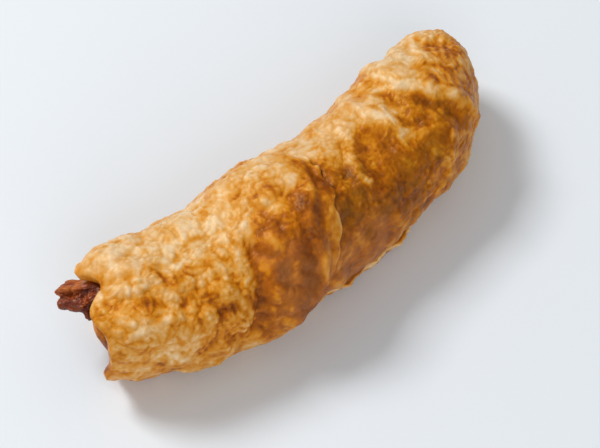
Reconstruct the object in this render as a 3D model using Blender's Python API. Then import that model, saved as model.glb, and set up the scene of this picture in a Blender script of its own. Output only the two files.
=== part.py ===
"""Fried bean curd skin roll, about 105 mm long, lying on its underside.

A blistered outer wrap of bean curd skin, open and oblique at the near end and tucked shut at the far
end, is drawn round a lumpy filling whose dark folds show in the open end.

Frame: +X along the roll towards its closed end, -Y is the front side, +Z is up and z = 0 is the
underside. The origin is under the middle of the roll's bounding box. Lengths below are millimetres.
Round a section, 0 degrees is the back, 90 the crown, 180 the front and 270 the underside.
"""
import bpy
import bmesh
import numpy as np
from mathutils import Matrix, Vector, noise

MM = 0.001                      # metres in a millimetre

# Plan of the roll, before it is centred.
X_TIP = 47.0                    # closed end
X_CAP = 24.0                    # where the closed end starts to round off
X_MOUTH = -51.5                 # middle of the open end
MOUTH_SLANT = 5.0               # the open end's front lip reaches this much further than the middle
MOUTH_WAVE = 0.8                # waviness of the open end's lip
LOBE_REACH = 2.2                # the lip's lobe between crown and front
LOBE_ANGLE = np.radians(120.0)
LOBE_WIDE = np.radians(22.0)
NOTCH_DEEP = 1.7                # the notch above it
NOTCH_ANGLE = np.radians(79.0)
NOTCH_WIDE = np.radians(14.0)
CORNER_REACH = 2.4              # and a loose corner of skin above that
CORNER_ANGLE = np.radians(54.0)
CORNER_WIDE = np.radians(10.0)
BEND_LOW_X = -5.0               # the roll is bent like a banana about here
BEND_LOW_Y = -2.6
BEND_RISE = 10.5                # sideways rise of the bend from there to the closed end
BEND_POWER = 2.5                # 2 is an even bend, more keeps the middle straighter

# Cross-section.
HALF_WIDTH = 14.3
HEIGHT = 25.2
SECTION_POWER = 2.35            # 2 is an ellipse, more is squarer
SINK = 0.7                      # how far the round section is cut off by the underside
PUFF_X = -11.0                  # the outer wrap is puffed up just inside its flap
PUFF_LENGTH = 11.0
PUFF_WIDE = 1.0
PUFF_HIGH = 1.2
WAIST_X = 13.0                  # and the roll is a little slimmer past the flap
WAIST_LENGTH = 9.0
WAIST_DEEP = 0.3
CAP_POWER = 2.15                # roundness of the closed end in plan
CAP_DROP = 0.30                 # the closed end keeps this share of its height to the last
LIP_CURL = 1.2                  # the lip of the open end curls in by this much
LIP_CURL_LENGTH = 5.0
REST_CORNERS = ((-37.0, 4.5), (-18.0, -7.5), (8.0, -7.5), (27.0, 4.5))     # the flat spot, x and y
REST_RISE = 0.3                 # round it the underside is this much higher

# The flap: the free edge of the outer wrap, an oblique ring round the roll.
FLAP_X = -1.0                   # its furthest reach, near the crown
FLAP_SWEEP = 27.0               # it falls back by this much on the far side of the ring
FLAP_ANGLE = np.radians(88.0)   # where round the section it reaches furthest
FLAP_MIDDLE = np.radians(135.0) # where round the section it stands highest
FLAP_STEP = 2.7                 # height of its shoulder over the skin beyond it
FLAP_STEP_LEAST = 0.5           # where it is pressed flat
RIM_SHARE = 0.35                # height of the thin rim, as a share of the shoulder
RIM_RISE = (1.6, 3.8)           # the wrap rises from rim to shoulder over this stretch
RIM_NARROW = 0.65               # which is narrower by this factor
RIM_SPREAD = 1.4                # but wider by this share towards the front
RIM_SPREAD_ANGLE = np.radians(125.0)
RIM_SPREAD_WIDE = np.radians(27.0)
FLAP_TUCK = 0.5                 # the rim overhangs the skin beyond it by this much
FLAP_BROW = 0.25                # roundness of the rim
FLAP_LENGTH = 26.0              # behind its shoulder the wrap settles down over this length
FLAP_EASE = 0.9                 # by this share of the shoulder

# Skin.
WALL = 2.7                      # wrap of several layers, outside to inside
GAP = 0.3                       # between the wrap and the filling
BLISTERS = 190
BLISTER_RADIUS = (3.0, 6.0)
BLISTER_HEIGHT = (0.4, 1.5)
BLISTER_PLAIN = 0.5             # blisters past the flap are this much lower
LUMP_SIZE = 13.0                # broad unevenness of the hand-rolled form
LUMP_HEIGHT = 0.75
WRINKLE_PITCH = 7.5             # long soft wrinkles of the thin skin past the flap
WRINKLE_HEIGHT = 0.35
WRINKLE_LEAN = 0.55             # they lean this much with y
WRINKLE_WANDER = 4.0            # and wander this far off it
CREASE_TOP_X = 27.3             # where the closed end's skin laps over: crown, and how it runs on
CREASE_LEAN = 0.62
CREASE_CURVE = 0.035
CREASE_HIGH = 1.0
CREASE_WIDE = 1.9
CREASE_REACH = 4.5
SKIRT_X = 3.0                   # loose thin edge of skin along the foot of the front side
SKIRT_LENGTH = 20.0
SKIRT_OUT = 3.0
SKIRT_HIGH = 3.6                # it starts to spread below this height
SKIRT_LOW = 1.2                 # and lies fully spread below this one
SEED = 11

# Folds pressed into the skin, each a straight run on the unrolled skin: x and degrees round the
# section at both ends, depth (a ridge where it is below 0) and half width.
WRAP_FOLDS = (
    (-22.5, 114.0, -28.5, 176.0, 1.6, 1.8),     # deep fold down the front
    (-51.0, 110.0, -35.0, 136.0, 0.8, 1.9),     # long valley from the lip
    (-52.0, 84.0, -46.0, 92.0, 0.9, 1.2),       # short crease at the notch
    (-25.0, 52.0, -29.0, 92.0, 0.6, 2.2),       # neck
    (-16.0, 150.0, -12.0, 120.0, 0.5, 1.6),
    (-44.0, 300.0, -24.0, 330.0, 0.8, 2.0),     # on the back
    (-20.0, 10.0, -32.0, 35.0, 0.7, 2.0),
)
PLAIN_FOLDS = (
    (15.5, 60.0, 18.6, 104.0, -0.8, 1.9),       # pleat, and the hollows on both its sides
    (22.0, 66.0, 21.6, 108.0, 0.6, 1.7),
    (10.5, 93.0, 14.0, 104.0, 0.5, 2.6),
    (3.5, 100.0, 1.0, 150.0, 0.5, 2.0),         # hollow beyond the flap
    (36.0, 52.0, 43.0, 84.0, 0.6, 1.6),         # on the closed end
    (24.0, 330.0, 8.0, 10.0, 0.8, 2.2),         # on the back
    (33.0, 350.0, 30.0, 30.0, 0.6, 1.8),
)
ROUND_RADIUS = 13.0             # millimetres round the unrolled skin for a radian

# Filling and its folds in the open end.
FOLD_ASIDE = 6.2                # the folds bulge out most on the back side
FOLD_UP = 16.5
FOLD_WIDE = 6.2
FOLD_TALL = 7.2
FOLD_BLUNT = 1.6                # 1 is a peak, more is a blunter bulge
FOLD_REACH = 7.6
FOLD_LEAN = 0.8                 # sideways to the back, for each millimetre beyond the lip
FOLD_SETBACK = 3.5              # the face they stand on, from the middle of the mouth
FOLD_RIDGE = 0.7
FOLD_PITCH = 4.2
FOLD_RIM = 0.4                  # the face is level with the filling's side until this share inward
FOLD_CLEAR = 1.0                # they lean only from this far beyond the lip
FILLING_SETBACK = 4.0           # clear of the wrap's inner end

# Mesh density.
COLUMNS = 76                    # columns are multiples of four
CAP_RINGS = 12
PLAIN_RINGS = 17                # past the flap
WRAP_RINGS = 28                 # under the flap
INNER_RINGS = 11                # along the cavity, and along the filling in it
INNER_CAP_RINGS = 4
FILLING_COLUMNS = 40
FOLD_RINGS = 10

PLAIN, WRAP = 0, 1              # the two stretches of the skin's outer face


def bell(x, middle, width):
    """A smooth hump, 1 at the middle and about a third one width away from it."""
    return np.exp(-((x - middle) / width) ** 2)


def smooth(x, low, high):
    """A smooth step from 0 at low to 1 at high."""
    t = np.clip((x - low) / (high - low), 0.0, 1.0)
    return t * t * (3.0 - 2.0 * t)


def turn(angle, middle):
    """The angle from a middle, between -pi and pi."""
    return (angle - middle + np.pi) % (2.0 * np.pi) - np.pi


def bend(x):
    """Sideways place of the section's middle."""
    return BEND_LOW_Y + BEND_RISE * (np.abs(x - BEND_LOW_X) / (X_TIP - BEND_LOW_X)) ** BEND_POWER


def cap_scale(x):
    """How far the section has shrunk in the closed end: 1 along the roll, 0 at the tip."""
    t = np.clip((x - X_CAP) / (X_TIP - X_CAP), 0.0, 1.0)
    return (1.0 - t ** CAP_POWER) ** (1.0 / CAP_POWER)


def mouth(angle):
    """Where the wrap's lip is, round the open end: oblique and wavy, with a lobe, notch and corner."""
    wave = np.sin(3.0 * angle + 0.6) + 0.5 * np.sin(8.0 * angle + 2.1)
    lip = X_MOUTH + MOUTH_SLANT * np.cos(angle) + MOUTH_WAVE * wave
    lobe = LOBE_REACH * bell(turn(angle, LOBE_ANGLE), 0.0, LOBE_WIDE)
    corner = CORNER_REACH * bell(turn(angle, CORNER_ANGLE), 0.0, CORNER_WIDE)
    return lip - lobe - corner + NOTCH_DEEP * bell(turn(angle, NOTCH_ANGLE), 0.0, NOTCH_WIDE)


def section(x, angle, inward=0.0):
    """Points of the plain roll at x, round the section by angle, moved inward by a distance."""
    puff = bell(x, PUFF_X, PUFF_LENGTH)
    half = HALF_WIDTH + PUFF_WIDE * puff - WAIST_DEEP * bell(x, WAIST_X, WAIST_LENGTH)
    high = HEIGHT + SINK + PUFF_HIGH * puff
    scale = cap_scale(x)
    curl = LIP_CURL * smooth(mouth(angle) + LIP_CURL_LENGTH - x, 0.0, LIP_CURL_LENGTH)
    across = np.maximum(half - inward - curl, 1.0) * scale
    up = np.maximum(high / 2.0 - inward - curl, 1.0)
    up = up * (CAP_DROP * np.sqrt(scale) + (1.0 - CAP_DROP) * scale)
    c, s = np.cos(angle), np.sin(angle)
    unit = (np.abs(c) ** SECTION_POWER + np.abs(s) ** SECTION_POWER) ** (-1.0 / SECTION_POWER)
    y = bend(x) + across * unit * c
    z = high / 2.0 - SINK + up * unit * s
    return np.stack([x + 0.0 * angle, y, z], axis=-1)


def normals(x, angle):
    """Outward directions of the plain roll, from two small steps along its surface."""
    step, small = 0.05, 0.005
    along = section(x + step, angle) - section(x - step, angle)
    around = section(x, angle + small) - section(x, angle - small)
    normal = np.cross(around, along)
    return normal / np.maximum(np.linalg.norm(normal, axis=-1, keepdims=True), 1e-9)


def flap(angle):
    """Where the flap's edge is, round the section."""
    back = FLAP_SWEEP * (1.0 - np.cos(angle - FLAP_ANGLE)) / 2.0
    ripple = 0.5 * np.sin(5.0 * angle + 1.0) + 0.3 * np.sin(11.0 * angle)
    return FLAP_X - back + ripple


def flap_shown(angle):
    """How free the flap's edge is: 1 at the front and crown, 0 where it is pressed flat."""
    return smooth(np.cos(angle - FLAP_MIDDLE), -0.35, 0.55)


def flap_step(angle):
    """Height of the flap's shoulder over the skin beyond it."""
    return FLAP_STEP_LEAST + (FLAP_STEP - FLAP_STEP_LEAST) * flap_shown(angle)


def rim_width(angle):
    """How much wider or narrower the rim is, round the section."""
    return RIM_NARROW + RIM_SPREAD * bell(turn(angle, RIM_SPREAD_ANGLE), 0.0, RIM_SPREAD_WIDE)


def flap_rise(inside, angle):
    """Height of the wrap over the skin that it covers, by the distance inside its edge."""
    rise = RIM_SHARE + (1.0 - RIM_SHARE) * smooth(inside / rim_width(angle), *RIM_RISE)
    settle = 1.0 - FLAP_EASE * smooth(inside, RIM_RISE[1], FLAP_LENGTH)
    return flap_step(angle) * rise * settle


def blister_domes():
    """Middles, radii and heights of the fried skin's larger blisters, higher on the wrap."""
    draw = np.random.default_rng(SEED)
    x = draw.uniform(X_MOUTH, X_TIP - 2.0, BLISTERS)
    angle = draw.uniform(0.0, 2.0 * np.pi, BLISTERS)
    radius = draw.uniform(*BLISTER_RADIUS, BLISTERS)
    height = draw.uniform(*BLISTER_HEIGHT, BLISTERS)
    height *= np.where(x < flap(angle), 1.0, BLISTER_PLAIN)
    return section(x, angle), radius, height


def field(points, size, offset):
    """Smooth noise between -1 and 1 at each point, with features of the given size."""
    shift = Vector((offset, 2.0 * offset, -offset))
    flat = [noise.noise(Vector(p) / size + shift) for p in points.reshape(-1, 3).tolist()]
    return np.array(flat).reshape(points.shape[:-1])


def pressed(x, angle, folds):
    """Depth of the pressed folds: each fades with the distance from its run on the unrolled skin."""
    depth = 0.0 * (x + angle)
    for x_a, degrees_a, x_b, degrees_b, deep, wide in folds:
        run_x = x_b - x_a
        run_round = ROUND_RADIUS * turn(np.radians(degrees_b), np.radians(degrees_a))
        off_x = x - x_a
        off_round = ROUND_RADIUS * turn(angle, np.radians(degrees_a))
        share = (off_x * run_x + off_round * run_round) / (run_x ** 2 + run_round ** 2)
        share = np.clip(share, 0.0, 1.0)
        away = np.hypot(off_x - share * run_x, off_round - share * run_round)
        depth = depth + deep * bell(away, 0.0, wide)
    return depth


def lap(points):
    """Step up to the lapped skin of the closed end, with a groove before it, over the upper half."""
    aside = points[..., 1] - bend(CREASE_TOP_X)
    beyond = points[..., 0] - CREASE_TOP_X + CREASE_LEAN * aside - CREASE_CURVE * aside ** 2
    step = np.tanh((beyond + 0.5 * CREASE_WIDE) / CREASE_WIDE) * bell(beyond, 0.0, CREASE_REACH)
    return CREASE_HIGH * step * smooth(points[..., 2], 8.0, 18.0)


def skirt(points, x, angle):
    """How far the loose edge of skin at the foot spreads to the front."""
    foot = smooth(-points[..., 2], -SKIRT_HIGH, -SKIRT_LOW) * smooth(-np.cos(angle), 0.25, 0.6)
    return SKIRT_OUT * foot * np.exp(-((x - SKIRT_X) / SKIRT_LENGTH) ** 4)


def relief(x, angle, stretch):
    """Height of the skin over the plain roll."""
    points = section(x, angle)
    blisters = np.zeros(points.shape[:-1])
    for middle, radius, dome in zip(*blister_domes()):
        near = np.linalg.norm(points - middle, axis=-1) / radius
        blisters = np.maximum(blisters, dome * (1.0 - near ** 2))
    height = LUMP_HEIGHT * field(points, LUMP_SIZE, 3.0) + blisters
    inside = flap(angle) - x
    if stretch == WRAP:
        return height + flap_rise(inside, angle) - pressed(x, angle, WRAP_FOLDS)
    drift = WRINKLE_WANDER * field(points, 9.0, 8.0)
    phase = (x - WRINKLE_LEAN * points[..., 1] + drift) / WRINKLE_PITCH
    wrinkles = WRINKLE_HEIGHT * np.sin(2.0 * np.pi * phase) * (0.5 + field(points, 11.0, 5.0))
    height += wrinkles * smooth(-inside, 0.0, 6.0)
    return height - pressed(x, angle, PLAIN_FOLDS) + lap(points)


def skin_face(x, angle, stretch, lift=0.0):
    """Points of the skin's outer face."""
    fade = smooth(cap_scale(x), 0.0, 0.35)
    raised = (relief(x, angle, stretch) + lift) * fade
    face = section(x, angle) + normals(x, angle) * raised[..., None]
    face[..., 1] -= skirt(face, x, angle)
    return face


def outer_rings(angle):
    """The skin's outer face: closed end, plain stretch, the flap's rim, wrapped stretch."""
    edge, lip, free = flap(angle), mouth(angle), flap_shown(angle)
    rings = []
    for i in range(1, CAP_RINGS + 1):
        t = np.sin(0.5 * np.pi * (1.0 - i / (CAP_RINGS + 1.0)))
        rings.append(skin_face(X_CAP + (X_TIP - X_CAP) * t + 0.0 * angle, angle, PLAIN))
    for i in range(PLAIN_RINGS):
        t = i / PLAIN_RINGS
        rings.append(skin_face(X_CAP + (edge - X_CAP) * t, angle, PLAIN))
    rings.append(skin_face(edge - FLAP_TUCK * free, angle, PLAIN))
    half_rim = 0.5 * flap_rise(0.0, angle)
    rings.append(skin_face(edge + FLAP_BROW * (2.0 * free - 1.0), angle, WRAP, -half_rim))
    top = edge - 2.0 * FLAP_BROW
    for i in range(WRAP_RINGS):
        t = i / WRAP_RINGS
        rings.append(skin_face(top + (lip - top) * (0.6 * t + 0.4 * t * t), angle, WRAP))
    return rings


def level_underside(rings):
    """Cuts the underside off: level between four of its points, and a little higher round them."""
    points = np.array(rings)
    height = points[..., 2]
    corners = []
    for x, y in REST_CORNERS:
        away = np.hypot(points[..., 0] - x, points[..., 1] - y)
        away[height > 0.0] = np.inf
        corners.append(points[np.unravel_index(np.argmin(away), away.shape)][:2])
    inside = np.ones(height.shape, dtype=bool)
    for start, end in zip(corners, corners[1:] + corners[:1]):
        to_end, to_point = end - start, points[..., :2] - start
        inside &= to_end[0] * to_point[..., 1] - to_end[1] * to_point[..., 0] >= 0.0
    points[..., 2] = np.maximum(height, np.where(inside, 0.0, REST_RISE))
    return points


def skin_rings(angle):
    """All of the skin's rings: the outer face, then the lip, the cavity and its closed end."""
    lip = mouth(angle)
    rings = outer_rings(angle)
    outer = skin_face(lip + 0.25, angle, WRAP)
    inner = section(lip + WALL / 3.0, angle, WALL)
    middle = 0.5 * (outer + inner) - np.array([WALL / 3.0, 0.0, 0.0])
    rings += [outer, middle, inner]
    start = lip + LIP_CURL_LENGTH
    for i in range(INNER_RINGS + 1):
        t = i / INNER_RINGS
        rings.append(section(start + (X_CAP - start) * t, angle, WALL))
    for i in range(1, INNER_CAP_RINGS + 1):
        t = np.sin(0.5 * np.pi * i / (INNER_CAP_RINGS + 1.0))
        ring = section(X_CAP + (X_TIP - X_CAP) * t + 0.0 * angle, angle, WALL)
        rings.append(ring - np.array([WALL, 0.0, 0.0]) * t)
    return level_underside(rings)


def fold_reach(y, z):
    """How far the folded filling stands out of the mouth: a bulge on the back side, with ridges."""
    aside = y - bend(X_MOUTH) - FOLD_ASIDE
    up = z - FOLD_UP
    away = (aside / FOLD_WIDE) ** 2 + (up / FOLD_TALL) ** 2
    bulge = FOLD_REACH * np.exp(-away ** FOLD_BLUNT)
    ridges = FOLD_RIDGE * np.sin(2.0 * np.pi * (aside + 0.25 * up + np.sin(0.45 * up)) / FOLD_PITCH)
    return bulge + ridges


def fold_ring(angle, t):
    """The filling's end face, from its edge (t = 0) to its middle (t = 1)."""
    rim = section(mouth(angle) + LIP_CURL_LENGTH, angle, WALL + GAP)
    middle = np.array([X_MOUTH + FOLD_SETBACK, bend(X_MOUTH) + FOLD_ASIDE, FOLD_UP])
    ring = rim + (middle - rim) * t
    ring[..., 0] -= fold_reach(ring[..., 1], ring[..., 2]) * smooth(t, 0.0, FOLD_RIM)
    lip = mouth(angle) + (X_MOUTH - mouth(angle)) * t
    ring[..., 1] += FOLD_LEAN * np.maximum(lip - FOLD_CLEAR - ring[..., 0], 0.0)
    return ring


def filling_rings(angle):
    """The filling's rings, from its closed end to the folds in the mouth."""
    rings = []
    for i in range(1, INNER_CAP_RINGS + 1):
        t = np.cos(0.5 * np.pi * i / (INNER_CAP_RINGS + 1.0))
        ring = section(X_CAP + (X_TIP - X_CAP) * t + 0.0 * angle, angle, WALL + GAP)
        rings.append(ring - np.array([FILLING_SETBACK, 0.0, 0.0]) * t)
    start = mouth(angle) + LIP_CURL_LENGTH
    for i in range(INNER_RINGS + 1):
        t = i / INNER_RINGS
        rings.append(section(X_CAP + (start - X_CAP) * t, angle, WALL + GAP))
    for i in range(1, FOLD_RINGS):
        rings.append(fold_ring(angle, i / FOLD_RINGS))
    return rings


def skin_poles():
    """The wrap's outer tip and the inner end of its cavity."""
    tip = section(np.array(X_TIP), np.array(0.0))
    return tip, tip - np.array([WALL, 0.0, 0.0])


def filling_poles():
    """The filling's closed end and the middle of its folds."""
    tip = section(np.array(X_TIP), np.array(0.0)) - np.array([FILLING_SETBACK, 0.0, 0.0])
    return tip, fold_ring(np.array([0.0]), 1.0)[0]


def ring_body(name, columns, make_rings, poles):
    """A closed body from a sphere: its circles of latitude become the rings, its poles the ends."""
    rings = make_rings(2.0 * np.pi * np.arange(columns) / columns)
    rows = len(rings) + 1
    body = bmesh.new()
    bmesh.ops.create_uvsphere(body, u_segments=columns, v_segments=rows, radius=1.0)
    for vert in body.verts:
        row = int(round(np.arccos(np.clip(vert.co.z, -1.0, 1.0)) / np.pi * rows))
        column = int(round(np.arctan2(vert.co.y, vert.co.x) / (2.0 * np.pi) * columns)) % columns
        if row == 0:
            place = poles[0]
        elif row == rows:
            place = poles[1]
        else:
            place = rings[row - 1][column]
        vert.co = Vector(place)
    bmesh.ops.triangulate(body, faces=body.faces, quad_method="SHORT_EDGE")
    bmesh.ops.recalc_face_normals(body, faces=body.faces)
    mesh = bpy.data.meshes.new(name)
    body.to_mesh(mesh)
    body.free()
    mesh.shade_smooth()
    return bpy.data.objects.new(name, mesh)


def paint(piece, name, colour, roughness):
    """A material of one colour and gloss on a piece."""
    material = bpy.data.materials.new(name)
    material.use_nodes = True
    shader = material.node_tree.nodes["Principled BSDF"]
    shader.inputs["Base Color"].default_value = (*colour, 1.0)
    shader.inputs["Roughness"].default_value = roughness
    shader.inputs["Metallic"].default_value = 0.0
    piece.data.materials.append(material)


def centre(pieces):
    """Millimetres to metres, with the origin under the middle of the whole roll's box."""
    points = np.array([vert.co for piece in pieces for vert in piece.data.vertices])
    low, high = points.min(axis=0), points.max(axis=0)
    middle = Vector(((low[0] + high[0]) / 2.0, (low[1] + high[1]) / 2.0, low[2]))
    for piece in pieces:
        piece.data.transform(Matrix.Scale(MM, 4) @ Matrix.Translation(-middle))


def main():
    """Makes the roll."""
    for old in list(bpy.data.objects):
        bpy.data.objects.remove(old, do_unlink=True)
    skin = ring_body("bean_curd_skin", COLUMNS, skin_rings, skin_poles())
    filling = ring_body("filling", FILLING_COLUMNS, filling_rings, filling_poles())
    paint(skin, "fried_skin", (0.62, 0.33, 0.10), 0.42)
    paint(filling, "filling_folds", (0.26, 0.07, 0.02), 0.35)
    centre([skin, filling])
    roll = bpy.data.collections.new("bean_curd_skin_roll")
    bpy.context.scene.collection.children.link(roll)
    for piece in (skin, filling):
        roll.objects.link(piece)


main()
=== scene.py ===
"""The looks of a fried bean curd skin roll: three closed skins laid over the frame's two solids.

The outer wrap ends in a free flap, the plain skin runs on under it to the closed end, and crumpled dark
folds of filling stand in the open end. All three are grids of rings round the roll, pushed out by
blisters, wrinkles and creases, and coloured by how browned, thin or pinched the skin is at each point,
with painted shade in hollows, folds and under the flap, and painted light on bumps, ridges and edges.

Frame: +X along the roll to its closed end, -Y is the front side, +Z up. Lengths are millimetres until
the meshes are made. Round a section, 0 degrees is the back, 90 the crown, 180 the front and 270 the
underside.
"""
import itertools
import math
import bpy
import numpy as np
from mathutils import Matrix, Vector, noise

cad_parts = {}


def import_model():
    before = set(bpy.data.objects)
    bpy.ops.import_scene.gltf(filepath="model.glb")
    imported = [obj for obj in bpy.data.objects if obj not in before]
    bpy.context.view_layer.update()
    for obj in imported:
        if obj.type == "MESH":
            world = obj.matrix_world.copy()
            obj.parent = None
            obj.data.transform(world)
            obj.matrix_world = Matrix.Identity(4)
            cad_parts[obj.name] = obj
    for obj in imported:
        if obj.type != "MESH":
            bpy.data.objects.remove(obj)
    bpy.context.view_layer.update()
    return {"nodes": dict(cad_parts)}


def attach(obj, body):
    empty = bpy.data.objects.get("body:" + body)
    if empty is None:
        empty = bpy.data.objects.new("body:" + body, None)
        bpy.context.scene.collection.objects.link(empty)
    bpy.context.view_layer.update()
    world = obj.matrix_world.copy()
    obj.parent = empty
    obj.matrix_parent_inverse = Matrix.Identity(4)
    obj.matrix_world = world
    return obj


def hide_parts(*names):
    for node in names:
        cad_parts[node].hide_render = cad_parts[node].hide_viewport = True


MM = 0.001                      # metres

# The roll in plan, as the frame's solids have it.
X_TIP = 47.0                    # closed end
X_CAP = 24.0                    # where the closed end starts to round off
X_MOUTH = -51.5                 # middle of the open end
MOUTH_SLANT = 5.0               # the open end's front lip reaches this much further than the middle
MOUTH_WAVE = 0.8                # waviness of the open end's lip
LIP_SHAPES = (                  # reach beyond the lip, and middle and width in degrees
    (2.2, 120, 22),             # its lobe between crown and front
    (2.4, 54, 10),              # a loose corner of skin
    (-1.7, 79, 14),             # the notch between them
)
BEND_LOW_X = -5.0               # the roll is bent like a banana about here
BEND_LOW_Y = -2.6
BEND_RISE = 10.5                # sideways rise of the bend from there to the closed end
BEND_POWER = 2.5                # 2 is an even bend, more keeps the middle straighter

# Its section.
HALF_WIDTH = 14.3
HEIGHT = 25.2
SECTION_POWER = 2.35            # 2 is an ellipse, more is squarer
SINK = 0.7                      # how far the round section is cut off by the underside
PUFF_X = -11.0                  # the outer wrap is puffed up just inside its flap
PUFF_LENGTH = 11.0
PUFF_WIDE = 1.0
PUFF_HIGH = 1.2
WAIST_X = 13.0                  # and the roll is a little slimmer past the flap
WAIST_LENGTH = 9.0
WAIST_DEEP = 0.3
CAP_POWER = 2.15                # roundness of the closed end in plan
CAP_DROP = 0.30                 # the closed end keeps this share of its height to the last
LIP_CURL = 1.2                  # the lip of the open end curls in by this much
LIP_CURL_LENGTH = 5.0

# Its flap: the free edge of the outer wrap, an oblique ring round the roll.
FLAP_X = -1.0                   # its furthest reach, near the crown
FLAP_SWEEP = 27.0               # it falls back by this much on the far side of the ring
FLAP_ANGLE = np.radians(88.0)   # where round the section it reaches furthest
FLAP_MIDDLE = np.radians(135.0) # where round the section it stands highest
FLAP_STEP = 2.7                 # height of its shoulder over the skin beyond it
FLAP_STEP_LEAST = 0.5           # where it is pressed flat
RIM_SHARE = 0.35                # height of the thin rim, as a share of the shoulder
RIM_RISE = (1.6, 3.8)           # the wrap rises from rim to shoulder over this stretch
RIM_NARROW = 0.65               # which is narrower by this factor
RIM_SPREAD = 1.4                # but wider by this share towards the front
RIM_SPREAD_ANGLE = np.radians(125.0)
RIM_SPREAD_WIDE = np.radians(27.0)
FLAP_LENGTH = 26.0              # behind its shoulder the wrap settles down over this length
FLAP_EASE = 0.9                 # by this share of the shoulder

# Its skin.
WALL = 2.7                      # wrap of several layers, outside to inside
GAP = 0.3                       # between the wrap and the filling
BLISTERS = 190
BLISTER_RADIUS = (3.0, 6.0)
BLISTER_HEIGHT = (0.4, 1.5)
BLISTER_PLAIN = 0.5             # blisters past the flap are this much lower
LUMP_SIZE = 13.0                # broad unevenness of the hand-rolled form
LUMP_HEIGHT = 0.75
WRINKLE_PITCH = 7.5             # long soft wrinkles of the thin skin past the flap
WRINKLE_HEIGHT = 0.35
WRINKLE_LEAN = 0.55             # they lean this much with y
WRINKLE_WANDER = 4.0            # and wander this far off it
WRINKLE_START = 6.0             # full height this far beyond the flap
CREASE_TOP_X = 27.3             # where the closed end's skin laps over: crown, and how it runs on
CREASE_LEAN = 0.62
CREASE_CURVE = 0.035
CREASE_HIGH = 1.0
CREASE_WIDE = 1.9
CREASE_REACH = 4.5
CREASE_FADE = (8.0, 18.0)       # it comes in over these heights
SKIRT_X = 3.0                   # loose thin edge of skin along the foot of the front side
SKIRT_LENGTH = 20.0
SKIRT_OUT = 3.0
SKIRT_HIGH = 3.6                # it starts to spread below this height
SKIRT_LOW = 1.2                 # and lies fully spread below this one
SEED = 11

# Folds pressed into the skin, each a straight run on the unrolled skin: x and degrees at both ends,
# depth (a ridge where it is below 0) and half width.
WRAP_FOLDS = (
    (-22.5, 114, -28.5, 176, 1.6, 1.8),  # deep fold down the front
    (-51.0, 110, -35.0, 136, 0.8, 1.9),  # long valley from the lip
    (-52.0, 84, -46.0, 92, 0.9, 1.2),    # short crease at the notch
    (-25.0, 52, -29.0, 92, 0.6, 2.2),    # neck
    (-16.0, 150, -12.0, 120, 0.5, 1.6),
    (-44.0, 300, -24.0, 330, 0.8, 2.0),  # on the back
    (-20.0, 10, -32.0, 35, 0.7, 2.0),
)
PLAIN_FOLDS = (
    (15.5, 60, 18.6, 104, -0.8, 1.9),  # pleat, and the hollows on both its sides
    (22.0, 66, 21.6, 108, 0.6, 1.7),
    (10.5, 93, 14.0, 104, 0.5, 2.6),
    (3.5, 100, 1.0, 150, 0.5, 2.0),    # hollow beyond the flap
    (36.0, 52, 43.0, 84, 0.6, 1.6),    # on the closed end
    (24.0, 330, 8.0, 10, 0.8, 2.2),    # on the back
    (33.0, 350, 30.0, 30, 0.6, 1.8),
)
ROUND_RADIUS = 13.0             # millimetres round the unrolled skin for a radian

# Filling and its folds in the open end.
FOLD_ASIDE = 6.2                # the folds bulge out most on the back side
FOLD_UP = 16.5
FOLD_WIDE = 6.2
FOLD_TALL = 7.2
FOLD_BLUNT = 1.6                # 1 is a peak, more is a blunter bulge
FOLD_REACH = 7.6
FOLD_LEAN = 0.8                 # sideways to the back, for each millimetre beyond the lip
FOLD_SETBACK = 3.5              # the face they stand on, from the middle of the mouth
FOLD_RIDGE = 0.7
FOLD_PITCH = 4.2
FOLD_RIM = 0.4                  # the face is level with the filling's side until this share inward
FOLD_CLEAR = 1.0                # they lean only from this far beyond the lip
FILLING_SETBACK = 4.0           # clear of the wrap's inner end

# Grids.
COLUMNS = 380                   # round the roll
CROWDING = 0.25                 # columns crowd by this share towards the side that shows
CROWDED = np.radians(115.0)
OUTER_RINGS = 212               # along the wrap
UNDER_RINGS = 14                # under its flap
MOUTH_RINGS = 16                # just inside its lip
DEEP_RINGS = 12                 # and on to the flap
PLAIN_RINGS = 112               # along the plain skin
CAP_RINGS = 110                 # over the closed end
BACK_RINGS = 8                  # along the plain skin's inner side
INNER_CAP_RINGS = 4
SIDE_RINGS = 12                 # along the filling
FACE_RINGS = 110                # over its folds

PLAIN, WRAP = 0, 1
ALONG = np.array([1.0, 0.0, 0.0])       # a step along the roll
BROWNER = np.array([1.0, 0.0, 0.0])     # a step of browning, without olive or pink


# Noise and strewn cells, the same for every run. The salt tells one noise from another.
GRAIN_SCALE = 1.7
PILLOW_GAP = 0.55               # the creases between pillows are this wide, in cells
BUBBLE_REACH = 0.6              # radius of a bubble, in cells


def lattice(cube, salt):
    """Repeatable numbers from 0 to 1 for whole-number cubes of space."""
    part = cube.astype(np.uint64)
    key = part[..., 0] * np.uint64(374761393) + part[..., 1] * np.uint64(668265263)
    key = key + part[..., 2] * np.uint64(2147483629) + np.uint64(salt * 974634777 + 12345)
    key = key & np.uint64(0xFFFFFFFF)
    for shift, factor in ((13, 1274126177), (16, 2246822519), (15, 3266489917)):
        key = ((key ^ (key >> np.uint64(shift))) * np.uint64(factor)) & np.uint64(0xFFFFFFFF)
    return (key ^ (key >> np.uint64(16))).astype(float) / 2.0 ** 32


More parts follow.
